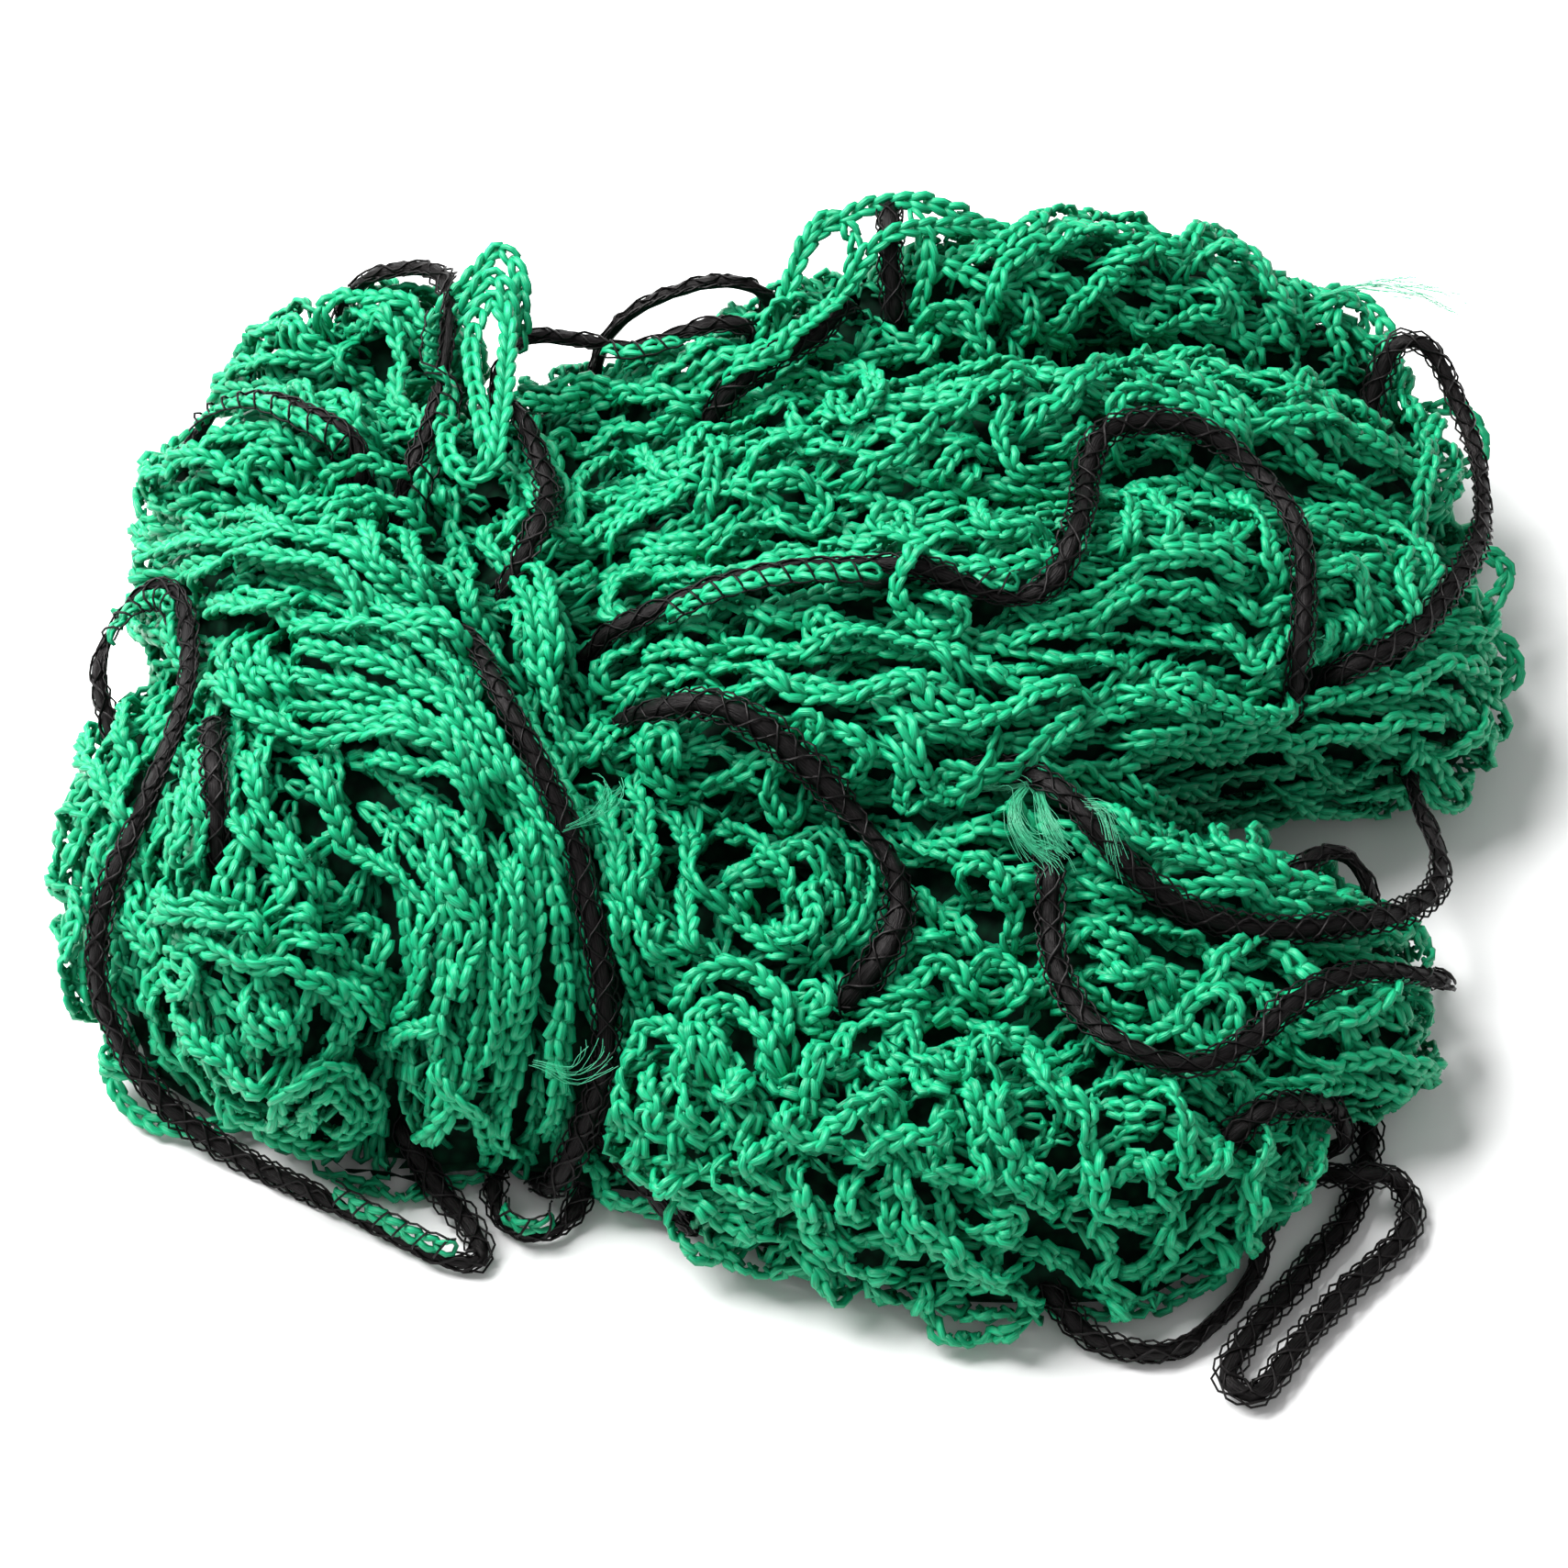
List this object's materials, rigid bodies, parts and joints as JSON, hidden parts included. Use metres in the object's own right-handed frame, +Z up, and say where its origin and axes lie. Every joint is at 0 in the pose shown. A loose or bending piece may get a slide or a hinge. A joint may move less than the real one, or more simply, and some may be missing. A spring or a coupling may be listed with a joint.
{
  "type": "elastic cargo net",
  "caption": "Knotless elastic cargo net of green knitted strands, lying as a loosely bundled heap, with a black laced edge cord that winds in and out of it.",
  "frame": {"origin": "centre of the heap's footprint box, on the surface it lies on", "axes": "+Z up from the surface, +X along the heap's long side to the right of the picture, +Y from the front of the heap to its back"},
  "size_m": [0.2709, 0.2467, 0.0735],
  "materials": {
    "green_yarn": "knitted filament yarn, slight sheen",
    "black_cord": "laced filament yarn, slight sheen"
  },
  "bodies": {
    "root": {"net": "green_yarn", "edge_cord_crown": "black_cord", "edge_cord_saddle": "black_cord", "edge_cord_back": "black_cord", "edge_cord_rear_arc": "black_cord", "edge_cord_shoulder": "black_cord", "edge_cord_left": "black_cord", "edge_cord_lobe": "black_cord", "edge_cord_band": "black_cord", "edge_cord_foot": "black_cord", "edge_cord_foot_right": "black_cord", "edge_cord_gather": "black_cord", "edge_cord_fan": "black_cord", "edge_cord_right_arch": "black_cord", "edge_cord_right_upper": "black_cord", "edge_cord_right_arc": "black_cord", "edge_cord_right_lower": "black_cord", "edge_cord_right_front": "black_cord", "edge_cord_front": "black_cord", "edge_cord_rear": "black_cord", "edge_cord_rear_low": "black_cord", "loose_bight": "black_cord"}
  },
  "joints": []
}
